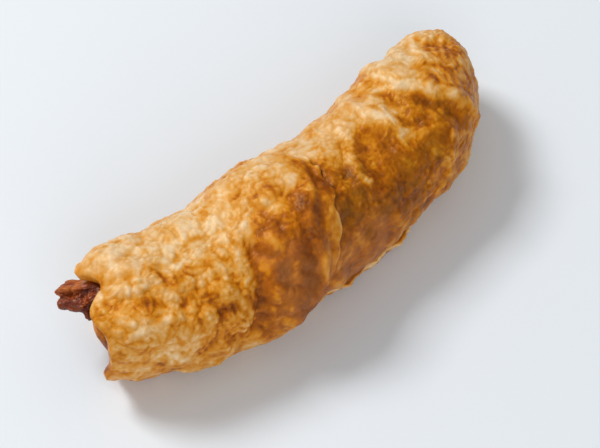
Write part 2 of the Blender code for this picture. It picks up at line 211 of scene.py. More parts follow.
def grain(points, size, salt):
    """Smooth noise from about -1 to 1 with features of the given size."""
    place = points / size
    base = np.floor(place)
    inside = place - base
    base = base.astype(np.int64)
    fade = inside ** 3 * (inside * (inside * 6.0 - 15.0) + 10.0)
    total = np.zeros(points.shape[:-1])
    for corner in itertools.product((0, 1), repeat=3):
        step = np.array(corner)
        cube = base + step
        slope = np.stack([lattice(cube, 3 * salt + k) * 2.0 - 1.0 for k in range(3)], axis=-1)
        weight = np.prod(np.where(step == 1, fade, 1.0 - fade), axis=-1)
        total += weight * np.sum(slope * (inside - step), axis=-1)
    return total * GRAIN_SCALE


def rough_grain(points, size, salt, octaves=3):
    """Noise with finer and finer noise added."""
    return sum(grain(points, size / 2.0 ** k, salt + 17 * k) / 2.0 ** k for k in range(octaves))


def swirled(points, size, reach, salt):
    """The points moved about by smooth noise, which makes what is drawn with them wander."""
    return points + reach * np.stack([grain(points, size, salt + 5 * k) for k in range(3)], axis=-1)


def cells(points, size, salt):
    """Distances to the nearest and next of seeds strewn one to a cube, and the nearest one's number."""
    place = points / size
    base = np.floor(place).astype(np.int64)
    near = np.full(points.shape[:-1], 9.0)
    second = near.copy()
    number = np.zeros(points.shape[:-1])
    for shift in itertools.product((-1, 0, 1), repeat=3):
        cube = base + np.array(shift)
        seed = cube + np.stack([lattice(cube, salt + k) for k in range(3)], axis=-1)
        away = np.linalg.norm(place - seed, axis=-1)
        number = np.where(away < near, lattice(cube, salt + 3), number)
        second = np.minimum(second, np.maximum(near, away))
        near = np.minimum(near, away)
    return near, second, number


def pillows(points, size, salt):
    """Puffed cells with soft creases between them, from 0 to 1, and each cell's number."""
    near, second, number = cells(points, size, salt)
    dome = np.clip(1.0 - near ** 2, 0.0, 1.0)
    gap = np.clip((second - near) / PILLOW_GAP, 0.0, 1.0)
    return dome * (0.6 * gap + 0.4 * gap * gap * (3.0 - 2.0 * gap)), number


def bubbles(points, size, salt, share):
    """Round domes of uneven height, from 0 to 1. Only a share of the cells hold one."""
    near, _, number = cells(points, size, salt)
    tall = np.clip(0.4 + 0.6 * number / share, 0.0, 1.0) * (number < share)
    return tall * np.clip(1.0 - (near / BUBBLE_REACH) ** 2, 0.0, 1.0) ** 0.75


# The plain roll.

def bell(x, middle, width):
    """A smooth hump, 1 at the middle and about a third one width away from it."""
    return np.exp(-((x - middle) / width) ** 2)


def smooth(x, low, high):
    """A smooth step from 0 at low to 1 at high."""
    t = np.clip((x - low) / (high - low), 0.0, 1.0)
    return t * t * (3.0 - 2.0 * t)


def turn(angle, middle):
    """The angle from a middle, between -pi and pi."""
    return (angle - middle + np.pi) % (2.0 * np.pi) - np.pi


def bend(x):
    """Sideways place of the section's middle."""
    return BEND_LOW_Y + BEND_RISE * (np.abs(x - BEND_LOW_X) / (X_TIP - BEND_LOW_X)) ** BEND_POWER


def cap_scale(x):
    """How far the section has shrunk in the closed end: 1 along the roll, 0 at the tip."""
    t = np.clip((x - X_CAP) / (X_TIP - X_CAP), 0.0, 1.0)
    return (1.0 - t ** CAP_POWER) ** (1.0 / CAP_POWER)


def mouth(angle):
    """Where the wrap's lip is, round the open end: oblique and wavy, with a lobe, notch and corner."""
    wave = np.sin(3.0 * angle + 0.6) + 0.5 * np.sin(8.0 * angle + 2.1)
    lip = X_MOUTH + MOUTH_SLANT * np.cos(angle) + MOUTH_WAVE * wave
    for reach, degrees, wide in LIP_SHAPES:
        lip = lip - reach * bell(turn(angle, np.radians(degrees)), 0.0, np.radians(wide))
    return lip


def section(x, angle, inward=0.0):
    """Points of the plain roll at x, round the section by angle, moved inward by a distance."""
    puff = bell(x, PUFF_X, PUFF_LENGTH)
    half = HALF_WIDTH + PUFF_WIDE * puff - WAIST_DEEP * bell(x, WAIST_X, WAIST_LENGTH)
    high = HEIGHT + SINK + PUFF_HIGH * puff
    scale = cap_scale(x)
    curl = LIP_CURL * smooth(mouth(angle) + LIP_CURL_LENGTH - x, 0.0, LIP_CURL_LENGTH)
    across = np.maximum(half - inward - curl, 1.0) * scale
    up = np.maximum(high / 2.0 - inward - curl, 1.0)
    up = up * (CAP_DROP * np.sqrt(scale) + (1.0 - CAP_DROP) * scale)
    c, s = np.cos(angle), np.sin(angle)
    unit = (np.abs(c) ** SECTION_POWER + np.abs(s) ** SECTION_POWER) ** (-1.0 / SECTION_POWER)
    y = bend(x) + across * unit * c
    z = high / 2.0 - SINK + up * unit * s
    return np.stack([x + 0.0 * angle, y, z], axis=-1)


def normals(x, angle):
    """Outward directions of the plain roll, from two small steps along its surface."""
    step, small = 0.05, 0.005
    along = section(x + step, angle) - section(x - step, angle)
    around = section(x, angle + small) - section(x, angle - small)
    normal = np.cross(around, along)
    return normal / np.maximum(np.linalg.norm(normal, axis=-1, keepdims=True), 1e-9)


def flap(angle):
    """Where the flap's edge is, round the section."""
    back = FLAP_SWEEP * (1.0 - np.cos(angle - FLAP_ANGLE)) / 2.0
    ripple = 0.5 * np.sin(5.0 * angle + 1.0) + 0.3 * np.sin(11.0 * angle)
    return FLAP_X - back + ripple


def flap_shown(angle):
    """How free the flap's edge is: 1 at the front and crown, 0 where it is pressed flat."""
    return smooth(np.cos(angle - FLAP_MIDDLE), -0.35, 0.55)


def flap_step(angle):
    """Height of the flap's shoulder over the skin beyond it."""
    return FLAP_STEP_LEAST + (FLAP_STEP - FLAP_STEP_LEAST) * flap_shown(angle)


def rim_width(angle):
    """How much wider or narrower the rim is, round the section."""
    return RIM_NARROW + RIM_SPREAD * bell(turn(angle, RIM_SPREAD_ANGLE), 0.0, RIM_SPREAD_WIDE)


def flap_rise(inside, angle):
    """Height of the wrap over the skin that it covers, by the distance inside its edge."""
    rise = RIM_SHARE + (1.0 - RIM_SHARE) * smooth(inside / rim_width(angle), *RIM_RISE)
    settle = 1.0 - FLAP_EASE * smooth(inside, RIM_RISE[1], FLAP_LENGTH)
    return flap_step(angle) * rise * settle


# Broad relief, as the frame's solids have it.

def blister_domes():
    """Middles, radii and heights of the larger blisters, higher on the wrap."""
    draw = np.random.default_rng(SEED)
    x = draw.uniform(X_MOUTH, X_TIP - 2.0, BLISTERS)
    angle = draw.uniform(0.0, 2.0 * np.pi, BLISTERS)
    radius = draw.uniform(*BLISTER_RADIUS, BLISTERS)
    height = draw.uniform(*BLISTER_HEIGHT, BLISTERS)
    height *= np.where(x < flap(angle), 1.0, BLISTER_PLAIN)
    return section(x, angle), radius, height


def field(points, size, offset):
    """Smooth noise between -1 and 1, the same that shapes the frame's solids."""
    shift = Vector((offset, 2.0 * offset, -offset))
    flat = [noise.noise(Vector(p) / size + shift) for p in points.reshape(-1, 3).tolist()]
    return np.array(flat).reshape(points.shape[:-1])


def pressed(x, angle, folds):
    """Depth of the pressed folds: each fades with the distance from its run on the unrolled skin."""
    depth = 0.0 * (x + angle)
    for x_a, degrees_a, x_b, degrees_b, deep, wide in folds:
        run_x = x_b - x_a
        run_round = ROUND_RADIUS * turn(np.radians(degrees_b), np.radians(degrees_a))
        off_x = x - x_a
        off_round = ROUND_RADIUS * turn(angle, np.radians(degrees_a))
        share = (off_x * run_x + off_round * run_round) / (run_x ** 2 + run_round ** 2)
        share = np.clip(share, 0.0, 1.0)
        away = np.hypot(off_x - share * run_x, off_round - share * run_round)
        depth = depth + deep * bell(away, 0.0, wide)
    return depth


def beyond_crease(points):
    """Distance along the roll beyond the crease where the closed end's skin laps over."""
    aside = points[..., 1] - bend(CREASE_TOP_X)
    return points[..., 0] - CREASE_TOP_X + CREASE_LEAN * aside - CREASE_CURVE * aside ** 2


def lap(points):
    """Step up to the lapped skin of the closed end, with a groove before it, over the upper half."""
    beyond = beyond_crease(points)
    step = np.tanh((beyond + 0.5 * CREASE_WIDE) / CREASE_WIDE) * bell(beyond, 0.0, CREASE_REACH)
    return CREASE_HIGH * step * smooth(points[..., 2], *CREASE_FADE)


def skirt(points, x, angle):
    """How far the loose edge of skin at the foot spreads to the front."""
    foot = smooth(-points[..., 2], -SKIRT_HIGH, -SKIRT_LOW) * smooth(-np.cos(angle), 0.25, 0.6)
    return SKIRT_OUT * foot * np.exp(-((x - SKIRT_X) / SKIRT_LENGTH) ** 4)


def broad(points, x, angle, stretch):
    """Height of the skin's broad relief over the plain roll."""
    blisters = np.zeros(points.shape[:-1])
    for middle, radius, dome in zip(*blister_domes()):
        near = np.linalg.norm(points - middle, axis=-1) / radius
        blisters = np.maximum(blisters, dome * (1.0 - near ** 2))
    height = LUMP_HEIGHT * field(points, LUMP_SIZE, 3.0) + blisters
    inside = flap(angle) - x
    if stretch == WRAP:
        return height + flap_rise(inside, angle) - pressed(x, angle, WRAP_FOLDS)
    drift = WRINKLE_WANDER * field(points, 9.0, 8.0)
    phase = (x - WRINKLE_LEAN * points[..., 1] + drift) / WRINKLE_PITCH
    wrinkles = WRINKLE_HEIGHT * np.sin(2.0 * np.pi * phase) * (0.5 + field(points, 11.0, 5.0))
    height += wrinkles * smooth(-inside, 0.0, WRINKLE_START)
    return height - pressed(x, angle, PLAIN_FOLDS) + lap(points)


# How the skin differs from place to place: x, degrees round the section, reach along the roll and
# round it in millimetres, then, mostly from 0 to 1, browning, bubbles, streaks round the section,
# olive translucence and pinkish softness.
PATCHES = (
    (-47.0, 62, 4.0, 4.0, 0.20, 0.4, 0.3, 0.0, 0.4),   # loose corner at the open end
    (-42.0, 74, 4.0, 5.0, 0.08, 0.7, 0.2, 0.0, 0.4),   # pale crest
    (-36.0, 76, 4.5, 6.0, 0.06, 0.5, 0.3, 0.35, 0.1),
    (-48.5, 92, 3.0, 3.5, 0.36, 0.6, 0.3, 0.1, 0.1),   # tan by the notch
    (-36.0, 95, 6.0, 3.0, 0.34, 0.9, 0.2, 0.1, 0.1),
    (-47.0, 104, 4.0, 2.5, 0.30, 0.9, 0.2, 0.0, 0.2),
    (-37.0, 116, 5.0, 2.0, 0.34, 1.0, 0.1, 0.0, 0.2),  # bumps over the orange band
    (-47.0, 116, 4.0, 1.5, 0.70, 0.6, 0.3, 0.0, 0.0),  # orange band
    (-38.5, 127, 4.5, 1.6, 0.72, 0.6, 0.3, 0.0, 0.0),
    (-46.0, 126, 4.0, 2.0, 0.32, 1.0, 0.1, 0.0, 0.3),  # and under it
    (-37.0, 134, 6.0, 3.0, 0.46, 0.9, 0.2, 0.0, 0.0),
    (-43.0, 144, 4.0, 4.0, 0.20, 0.8, 0.2, 0.0, 0.1),
    (-35.0, 156, 6.0, 5.0, 0.62, 0.9, 0.4, 0.0, 0.1),
    (-27.0, 66, 5.0, 6.0, 0.12, 0.3, 0.8, 0.15, 0.0),  # neck
    (-26.0, 90, 6.0, 4.0, 0.22, 0.8, 0.2, 0.0, 0.3),
    (-29.0, 119, 4.0, 4.0, 0.40, 0.5, 0.3, 0.0, 0.0),  # gold above the deep fold
    (-25.5, 138, 2.5, 5.0, 0.58, 0.4, 0.2, 0.0, 0.2),
    (-19.5, 126, 3.5, 4.0, 0.86, 0.4, 0.2, 0.0, 0.5),  # brown beyond it
    (-20.5, 78, 3.0, 6.0, 0.20, 0.6, 0.3, 0.0, 0.2),
    (-13.0, 63, 5.0, 3.5, 0.38, 0.6, 0.3, 0.1, 0.0),   # gold crown of the shoulder
    (-13.0, 82, 5.0, 4.0, 0.34, 1.0, 0.1, 0.0, 0.5),   # its palest blisters, paler in part for painted highlights
    (-5.5, 70, 3.0, 2.5, 0.44, 0.3, 0.1, 0.3, 0.0),    # gold, then orange up to the flap's edge
    (-3.0, 80, 3.0, 3.0, 0.62, 0.3, 0.1, 0.0, 0.0),
    (-13.0, 105, 6.0, 3.0, 0.80, 0.6, 0.2, 0.0, 0.0),
    (-3.0, 100, 3.0, 4.0, 0.80, 0.2, 0.1, 0.0, 0.0),
    (-11.0, 124, 5.0, 3.5, 0.86, 0.5, 0.2, 0.0, 0.2),
    (-4.5, 117, 2.5, 3.0, 0.58, 0.3, 0.2, 0.0, 0.4),   # tan rim
    (-9.5, 140, 2.5, 4.0, 0.54, 0.3, 0.3, 0.0, 0.4),
    (-18.0, 144, 4.5, 7.0, 1.06, 0.3, 0.3, 0.0, 0.8),  # satin skin beside the deep fold
    (2.0, 56, 4.0, 6.0, 0.20, 0.4, 0.5, 0.3, 0.2),     # cream skin beyond the flap
    (9.0, 70, 5.0, 5.0, 0.27, 0.6, 0.4, 0.1, 0.3),
    (4.0, 97, 4.0, 3.5, 0.74, 0.9, 0.5, 0.5, 0.0),
    (4.0, 114, 4.0, 3.5, 0.76, 1.0, 0.4, 0.5, 0.0),    # speckled
    (12.5, 94, 4.0, 4.0, 0.78, 0.3, 0.2, 0.3, 0.0),    # golden hollow
    (11.0, 112, 3.0, 3.0, 0.82, 0.2, 0.3, 0.0, 0.1),
    (16.0, 68, 3.5, 5.0, 0.20, 0.4, 0.3, 0.0, 0.4),    # pleat
    (23.0, 60, 2.5, 5.0, 0.38, 0.5, 0.3, 0.0, 0.0),
    (23.5, 88, 3.0, 4.0, 0.58, 0.6, 0.5, 0.4, 0.0),
    (27.0, 112, 4.0, 5.0, 0.72, 0.4, 0.6, 0.5, 0.0),   # amber below the crease
    (19.0, 128, 6.0, 4.0, 0.62, 0.3, 0.8, 0.6, 0.0),
    (5.0, 133, 6.0, 4.0, 0.80, 0.3, 0.8, 0.6, 0.0),
    (14.0, 150, 6.0, 4.0, 0.88, 0.3, 0.8, 0.4, 0.0),
    (-2.0, 152, 4.0, 5.0, 0.70, 0.4, 0.4, 0.5, 0.3),
    (-1.0, 176, 8.0, 6.0, 0.68, 0.1, 0.3, 0.0, 0.6),   # pinkish foot
    (22.0, 170, 8.0, 6.0, 0.66, 0.4, 0.7, 0.3, 0.0),
    (31.0, 62, 4.0, 6.0, 0.06, 0.3, 0.3, 0.3, 0.0),    # ivory skin beyond the crease
    (35.0, 94, 4.0, 4.0, 0.44, 0.4, 0.5, 0.0, 0.1),
    (40.5, 76, 3.0, 6.0, 0.52, 0.5, 0.5, 0.0, 0.0),
    (36.0, 130, 4.0, 5.0, 0.60, 0.4, 0.3, 0.2, 0.0),
    (43.0, 45, 4.0, 6.0, 0.34, 0.5, 0.3, 0.0, 0.0),
)
ELSEWHERE = (0.45, 0.6, 0.4, 0.1, 0.1)  # out of every patch's reach
ELSEWHERE_WEIGHT = 0.10
BROWNEST = 0.80                 # browning past this counts for less, so that no spot looks burnt
BROWNEST_EASE = 0.5             # by this factor
PATCH_WANDER = 2.4              # the patches' edges wander by this much
PATCH_WANDER_SIZE = 6.0
HIDDEN_SIZE = 11.0              # browner areas on the back and underside
HIDDEN_BROWN = 0.28

# Browner and paler strokes: x and degrees at both ends, browning (paler where it is below 0), half width.
WRAP_STROKES = (
    (-51.0, 113, -44.0, 119, 0.18, 1.2),   # orange band from the lip
    (-44.0, 121, -33.0, 134, 0.12, 1.2),
    (-41.0, 92, -40.0, 103, 0.30, 0.8),    # pits
    (-39.5, 109, -35.5, 102, 0.26, 0.9),
    (-33.5, 102, -31.5, 104, 0.22, 1.0),
    (-33.5, 144, -31.5, 145, 0.28, 1.0),
    (-24.2, 118, -24.4, 142, 0.14, 1.0),   # deep fold, with painted shade in it
    (-26.5, 148, -27.0, 180, 0.26, 2.4),
    (-30.2, 140, -30.6, 158, -0.05, 1.2),  # paler ridge beside it
    (-22.0, 105, -16.0, 108, 0.16, 1.5),
    (-18.8, 74, -17.0, 75, 0.22, 1.0),
    (-12.6, 80, -12.0, 85, 0.22, 0.8),
    (-14.5, 87, -14.3, 96, -0.24, 1.2),    # painted highlights on the palest blisters, here and on the next line
    (-9.2, 66, -8.0, 86, -0.18, 1.2),
    (-18.5, 113, -18.3, 120, -0.22, 1.3),
    (-2.2, 78, -1.6, 94, 0.14, 1.1),       # orange up to the flap's edge
    (-2.6, 94, -2.4, 108, 0.18, 1.4),      # reddest spot inside it
    (-9.5, 98, -8.0, 118, 0.28, 1.2),      # caramel under the shoulder
    (-8.5, 120, -14.5, 131, 0.24, 1.2),
    (-20.4, 130, -21.6, 150, 0.08, 0.9),   # streaks down the satin skin
    (-17.6, 132, -18.8, 154, -0.18, 1.1),
    (-14.6, 134, -16.0, 156, 0.18, 1.0),
    (-12.4, 134, -13.0, 150, -0.16, 1.0),
    (-4.5, 114, -9.0, 139, -0.08, 1.1),    # rim
)
PLAIN_STROKES = (
    (-4.5, 132, -0.5, 125, 0.30, 1.2),   # shade under the rim
    (-8.0, 138, -4.0, 148, 0.22, 1.4),
    (2.4, 112, 2.6, 115, -0.42, 0.7),    # flecks
    (4.8, 110, 5.2, 112, -0.36, 0.7),
    (5.4, 118, 5.9, 120, -0.36, 0.7),
    (-2.5, 150, -1.5, 154, -0.28, 0.9),
    (2.4, 118, 3.4, 120, 0.22, 0.9),
    (4.0, 104, 4.5, 109, 0.20, 0.9),
    (15.5, 76, 19.2, 92, -0.26, 1.2),    # pleat's ridge, paler partly with painted highlights
    (19.2, 92, 18.6, 107, -0.24, 1.0),
    (22.8, 98, 23.6, 111, 0.16, 1.2),
    (24.4, 54, 25.2, 76, -0.24, 1.2),    # edge of the closed end's skin, paler with painted light along it
    (25.2, 76, 29.2, 100, -0.36, 1.2),
    (29.2, 100, 33.4, 119, -0.32, 1.0),
    (26.0, 96, 30.4, 126, 0.18, 1.4),    # shade before it
    (31.0, 85, 33.0, 98, 0.30, 0.6),     # stripes on the closed end
    (33.6, 84, 38.5, 113, 0.34, 0.8),
    (36.0, 96, 39.0, 106, -0.20, 1.0),
    (40.2, 80, 41.8, 102, 0.18, 1.2),
    (37.6, 75, 38.4, 88, -0.06, 1.0),
    (30.0, 137, 33.0, 145, 0.14, 1.5),
    (5.0, 148, 15.0, 168, 0.14, 1.8),
)


def character(x, angle, points):
    """Browning, bubbles, streaks, olive and pink at each point."""
    drift = [rough_grain(points, PATCH_WANDER_SIZE, salt, 2) for salt in (40, 45)]
    wander = PATCH_WANDER * np.stack(drift, axis=-1)
    along = x + wander[..., 0]
    round_ = angle + wander[..., 1] / ROUND_RADIUS
    total = np.full(points.shape[:-1], ELSEWHERE_WEIGHT)
    values = [total * v for v in ELSEWHERE]
    for px, degrees, reach_x, reach_round, *kinds in PATCHES:
        away = ((along - px) / reach_x) ** 2
        away = away + (turn(round_, np.radians(degrees)) * ROUND_RADIUS / reach_round) ** 2
        weight = np.exp(-away)
        total = total + weight
        values = [v + weight * kind for v, kind in zip(values, kinds)]
    brown, bubbly, streaky, olive, pink = (v / total for v in values)
    hidden = smooth(-np.cos(turn(angle, CROWDED)), 0.1, 0.7)
    brown = brown + hidden * (HIDDEN_BROWN * grain(points, HIDDEN_SIZE, 50) + 0.05)
    olive = olive + hidden * np.clip(grain(points, 9.0, 51), 0.0, 0.6)
    return brown, bubbly, streaky, olive, pink


# Small blisters and wrinkles: their sizes and heights.
LARGE_SIZE = 2.9
LARGE_HIGH = 0.60
SMALL_SIZE = 1.35
SMALL_HIGH = 0.24
BUBBLE_SIZE = 3.4
BUBBLE_HIGH = 0.45
BUBBLE_SHARE = 0.35
RIDGE_SIZE = 1.5
RIDGE_HIGH = 0.30
RIDGE_SQUEEZE = np.array([1.0, 0.3, 0.3])   # ridges run round the section
CRUMPLE_SIZE = 3.0
CRUMPLE_HIGH = 0.25
PORE_SIZE = 0.7
PORE_HIGH = 0.06
PINK_SMOOTH = 0.6               # pinkish skin is smoother by this share


def fine(points, bubbly, streaky, pink):
    """Height of small blisters and wrinkles, and how browned each blister is, its top paler partly with a
    painted highlight.
    """
    wander = swirled(points, 4.0, 1.1, 60)
    large, number = pillows(wander, LARGE_SIZE, 61)
    small, small_number = pillows(points + 0.4 * (wander - points), SMALL_SIZE, 66)
    domes = bubbles(wander + 1.3, BUBBLE_SIZE, 71, BUBBLE_SHARE)
    ridge = (1.0 - np.abs(grain(wander * RIDGE_SQUEEZE, RIDGE_SIZE, 76))) ** 3
    crumple = 1.0 - np.abs(rough_grain(wander, CRUMPLE_SIZE, 77))
    height = bubbly * (LARGE_HIGH * large * (0.4 + 0.6 * number) + SMALL_HIGH * small + BUBBLE_HIGH * domes)
    height += streaky * RIDGE_HIGH * ridge + CRUMPLE_HIGH * crumple + PORE_HIGH * grain(points, PORE_SIZE, 78)
    height *= 1.0 - PINK_SMOOTH * pink
    # blister tops are paler: partly their own colour, partly a painted highlight
    tops = bubbly * (0.55 * large + 0.3 * small)
    mottle = 0.16 * (number - 0.5) + 0.10 * (small_number - 0.5) - 0.30 * (tops - 0.3)
    return height, mottle * (1.0 - 0.3 * pink)


def smoothed(values, passes):
    """Values on a grid of rings, evened out with their neighbours."""
    for _ in range(passes):
        round_ = np.roll(values, 1, axis=1) + np.roll(values, -1, axis=1)
        along = np.concatenate([values[:1], values[:-1]]) + np.concatenate([values[1:], values[-1:]])
        values = (2.0 * values + round_ + along) / 6.0
    return values


def wrap_tone(inside, angle):
    """Browning along the flap's edge: a thin pale rim, and a browner crease where the wrap rises."""
    rim = bell(inside, 0.0, 0.5)
    crease = bell(inside / rim_width(angle), 2.6, 0.9)
    return flap_shown(angle) * (0.10 * crease - 0.26 * rim)


# Stripes on the closed end, and the loose edge at the foot, whose bands go by how far it has spread.
STRIPES_X = 40.0
STRIPES_LENGTH = 4.5
STRIPES_ANGLE = np.radians(74.0)
STRIPES_WIDE = 0.55
STRIPES_PITCH = 3.1
STRIPES_LEAN = 0.8
STRIPES_BROWN = 0.16
FOOT_BANDS = ((0.45, 0.12, 0.10), (-0.45, 0.45, 0.22), (0.25, 0.8, 0.12))   # browning, place, width


def plain_tone(points, inside, x, angle):
    """Painted shadow under the flap and just beyond its edge, browner stripes over the closed end, and bands
    along the loose edge at the foot.
    """
    # painted shadow of the flap on the skin under it, fading out just beyond its edge
    tone = 0.22 * flap_shown(angle) * bell(np.maximum(-inside, 0.0), 0.0, 1.2)
    end = bell(x, STRIPES_X, STRIPES_LENGTH) * bell(turn(angle, STRIPES_ANGLE), 0.0, STRIPES_WIDE)
    stripes = np.sin(2.0 * np.pi * (x + STRIPES_LEAN * ROUND_RADIUS * angle) / STRIPES_PITCH)
    spread = skirt(points, x, angle) / SKIRT_OUT
    edge = sum(brown * bell(spread, place, width) for brown, place, width in FOOT_BANDS)
    shown = smooth(-np.cos(angle), 0.1, 0.5) * np.exp(-((x - SKIRT_X) / SKIRT_LENGTH) ** 4)
    return tone + STRIPES_BROWN * end * stripes + shown * edge


# How the relief and the noise over it tell on the colours.
LITTLE_MIDDLE = 0.45            # the small blisters' middle height, level with the face
TIGHT_PASSES = 8                # hollows and bumps stand off the relief evened out this many times
# hollows are made darker and bumps paler by these shares: painted shade and painted light, partly the skin's
# own colour
TIGHT_BROWN_AND_SHADE = 0.6
WIDE_PASSES = 60                # and wider ones off it evened out more
WIDE_BROWN_AND_SHADE = 0.25
MOTTLES = ((0.26, 3.2, 91), (0.14, 1.4, 92))    # browning, size, salt


def relief(x, angle, plain, stretch, little, lift):
    """Height of all the skin's relief, eased off towards the tip of the closed end."""
    big = broad(plain, x, angle, stretch) + lift
    scale = cap_scale(x)
    return big * smooth(scale, 0.0, 0.35) + (little - LITTLE_MIDDLE) * smooth(scale, 0.0, 0.12)


def hollow_tone(height, inside, angle):
    """Hollows browner and darker with painted shade, bumps paler with painted light, partly the skin's own
    colour; less of it in the crease along the flap's edge.
    """
    tight = np.clip(smoothed(height, TIGHT_PASSES) - height, -0.2, 0.25)
    wide = np.clip(smoothed(height, WIDE_PASSES) - height, -0.5, 0.5)
    open_ = 1.0 - 0.8 * flap_shown(angle) * bell(inside, 2.0, 2.5)
    return open_ * (TIGHT_BROWN_AND_SHADE * tight + WIDE_BROWN_AND_SHADE * wide)


def skin(x, angle, stretch, lift=0.0):
    """Points of the skin's outer face, with their browning, olive and pink."""
    angle = angle + 0.0 * x
    plain = section(x, angle)
    brown, bubbly, streaky, olive, pink = character(x, angle, plain)
    little, mottle = fine(plain, bubbly, streaky, pink)
    inside = flap(angle) - x
    if stretch == WRAP:
        brown = brown + wrap_tone(inside, angle) + pressed(x, angle, WRAP_STROKES)
    else:
        brown = brown + plain_tone(plain, inside, x, angle) + pressed(x, angle, PLAIN_STROKES)
    brown = brown + mottle
    wander = swirled(plain, 5.0, 2.0, 90)
    for share, size, salt in MOTTLES:
        brown = brown + share * grain(wander, size, salt)
    height = relief(x, angle, plain, stretch, little, lift)
    brown = brown + hollow_tone(height, inside, angle)
    brown = np.where(brown > BROWNEST, BROWNEST + BROWNEST_EASE * (brown - BROWNEST), brown)
    olive = olive * (0.6 + 0.8 * grain(wander, 3.6, 93))
    pink = pink * (0.7 + 0.6 * grain(wander, 2.4, 94))
    tints = np.clip(np.stack([brown, olive, pink], axis=-1), 0.0, 1.0)
    face = plain + normals(x, angle) * height[..., None]
    if stretch == PLAIN:
        face[..., 1] -= skirt(face, x, angle)
    return face, tints


def one_tint(shape, brown):
    """The same browning for a whole grid, with no olive or pink."""
    return np.stack([np.full(shape, brown), np.zeros(shape), np.zeros(shape)], axis=-1)


# The three pieces, each as rings of points and their tints.
INNER_BROWN = 0.85              # inside the roll


def columns():
    """Angles of the columns round the roll, crowded towards the side that shows."""
    even = 2.0 * np.pi * np.arange(COLUMNS) / COLUMNS
    return even - CROWDING * np.sin(even - CROWDED)


def evenly(low, high, count):
    """Count even steps from low to high, for each of the columns round the roll."""
    return low + (high - low) * np.linspace(0.0, 1.0, count)[:, None]


# The wrap's rings, by the distance from its flap's edge or from its lip.
UNDER_REACH = 8.0               # its inner face starts this far under the flap
UNDER_NEAR = 0.5                # and ends this near to the edge
UNDER_LIFT = 0.05               # clear of the skin that it covers
UNDER_BROWNER = 0.2
OUTER_START = 0.35              # its outer face starts this near to the edge
OUTER_END = 0.3                 # and ends this near to the lip
RIM_NOSE = 0.45                 # roundness of the rim
LIP_LAYER = 0.25                # how far the layers that show in the lip stand out
LIP_ROUND = 0.9                 # and how far the lip rounds out
LIP_PASSES = 60                 # its browning is evened out along it
MOUTH_START = 0.9               # its inner wall starts this far behind the lip
MOUTH_END = 3.0                 # and is thick until this far behind the lip's curl
DEEP_START = 5.0                # from here on it is a little thinner
DEEP_END = 9.0                  # and it ends this far short of the flap's edge
DEEP_THIN = 0.9


def ragged_flap(angle):
    """The flap's edge with its finest unevenness."""
    return flap(angle) + 0.30 * np.sin(17.0 * angle) + 0.22 * np.sin(29.0 * angle + 1.0)


def under_flap(edge, angle):
    """The wrap's inner face by the flap's edge, close over the skin that it covers."""
    x = evenly(edge - UNDER_REACH, edge - UNDER_NEAR, UNDER_RINGS)
    face, tints = skin(x, angle, PLAIN, UNDER_LIFT)
    spread = flap_shown(angle) * (rim_width(angle) - RIM_NARROW)
    lift = 0.1 + 0.25 * spread * bell(x, edge, 2.5)
    return face + normals(x, angle) * lift[..., None], tints + UNDER_BROWNER * BROWNER


def rim_rings(low, face, tints):
    """Rings round the rim, from the inner face's last ring to the outer face's first."""
    rings = []
    for t in (0.25, 0.5, 0.75):
        rings.append(low + (face - low) * t + RIM_NOSE * ALONG * np.sin(np.pi * t))
    return np.stack(rings), np.stack([tints] * len(rings))


def lip_rings(face, wall, tints):
    """Rings over the layered lip, from the outer face's last ring to the inner wall's first."""
    rings, tones = [], []
    tints = smoothed(tints[None], LIP_PASSES)
    for t in (0.2, 0.4, 0.6, 0.8):
        layer = LIP_LAYER * np.cos(6.0 * np.pi * t) - LIP_ROUND * np.sin(np.pi * t)
        ring = (face + (wall - face) * t + layer * ALONG)[None]
        tone = 0.3 * t + 0.05 + 0.22 * rough_grain(ring, 1.8, 90)
        rings.append(ring)
        tones.append(tints + tone[..., None] * BROWNER)
    return np.concatenate(rings), np.concatenate(tones)


def wrap_piece(angle):
    """The outer wrap: under the flap, round its rim, along the outside, over the lip and back inside."""
    edge = ragged_flap(angle)
    lip = mouth(angle)
    low, low_tint = under_flap(edge, angle)
    face, face_tint = skin(evenly(edge - OUTER_START, lip + OUTER_END, OUTER_RINGS), angle, WRAP)
    start = evenly(lip + MOUTH_START, lip + LIP_CURL_LENGTH + MOUTH_END, MOUTH_RINGS)
    wall = section(start, angle, WALL)
    wall[..., 0] += 0.25 * grain(wall, 2.0, 70)
    deep = evenly(lip + LIP_CURL_LENGTH + DEEP_START, edge - DEEP_END, DEEP_RINGS)
    deep_wall = section(deep, angle, DEEP_THIN * WALL)
    rim, rim_tint = rim_rings(low[-1], face[0], face_tint[0])
    over, over_tint = lip_rings(face[-1], wall[0], face_tint[-1])
    inner_tint = one_tint((len(wall) + len(deep_wall), len(angle)), INNER_BROWN)
    rings = np.concatenate([low, rim, face, over, wall, deep_wall])
    return rings, np.concatenate([low_tint, rim_tint, face_tint, over_tint, inner_tint]), None


# The closed end and the plain skin.
TIP_NEAR = 0.985                # outer rings start here, as a share of a quarter turn to the tip
INNER_SPAN = (0.2, 0.8)         # and inner ones lie between these shares
CAP_STEP = 0.2                  # from its last ring to the next
PLAIN_REACH = 6.0               # the plain skin runs on under the flap by this much
BACK_REACH = 6.5                # and its inner face by this much


def end_rings(rise, angle, inward, setback):
    """Rings inside the closed end, moved inward from its outside and back from its tip."""
    rings = section(X_CAP + (X_TIP - X_CAP) * rise, angle, inward)
    return rings - setback * ALONG * rise[..., None]


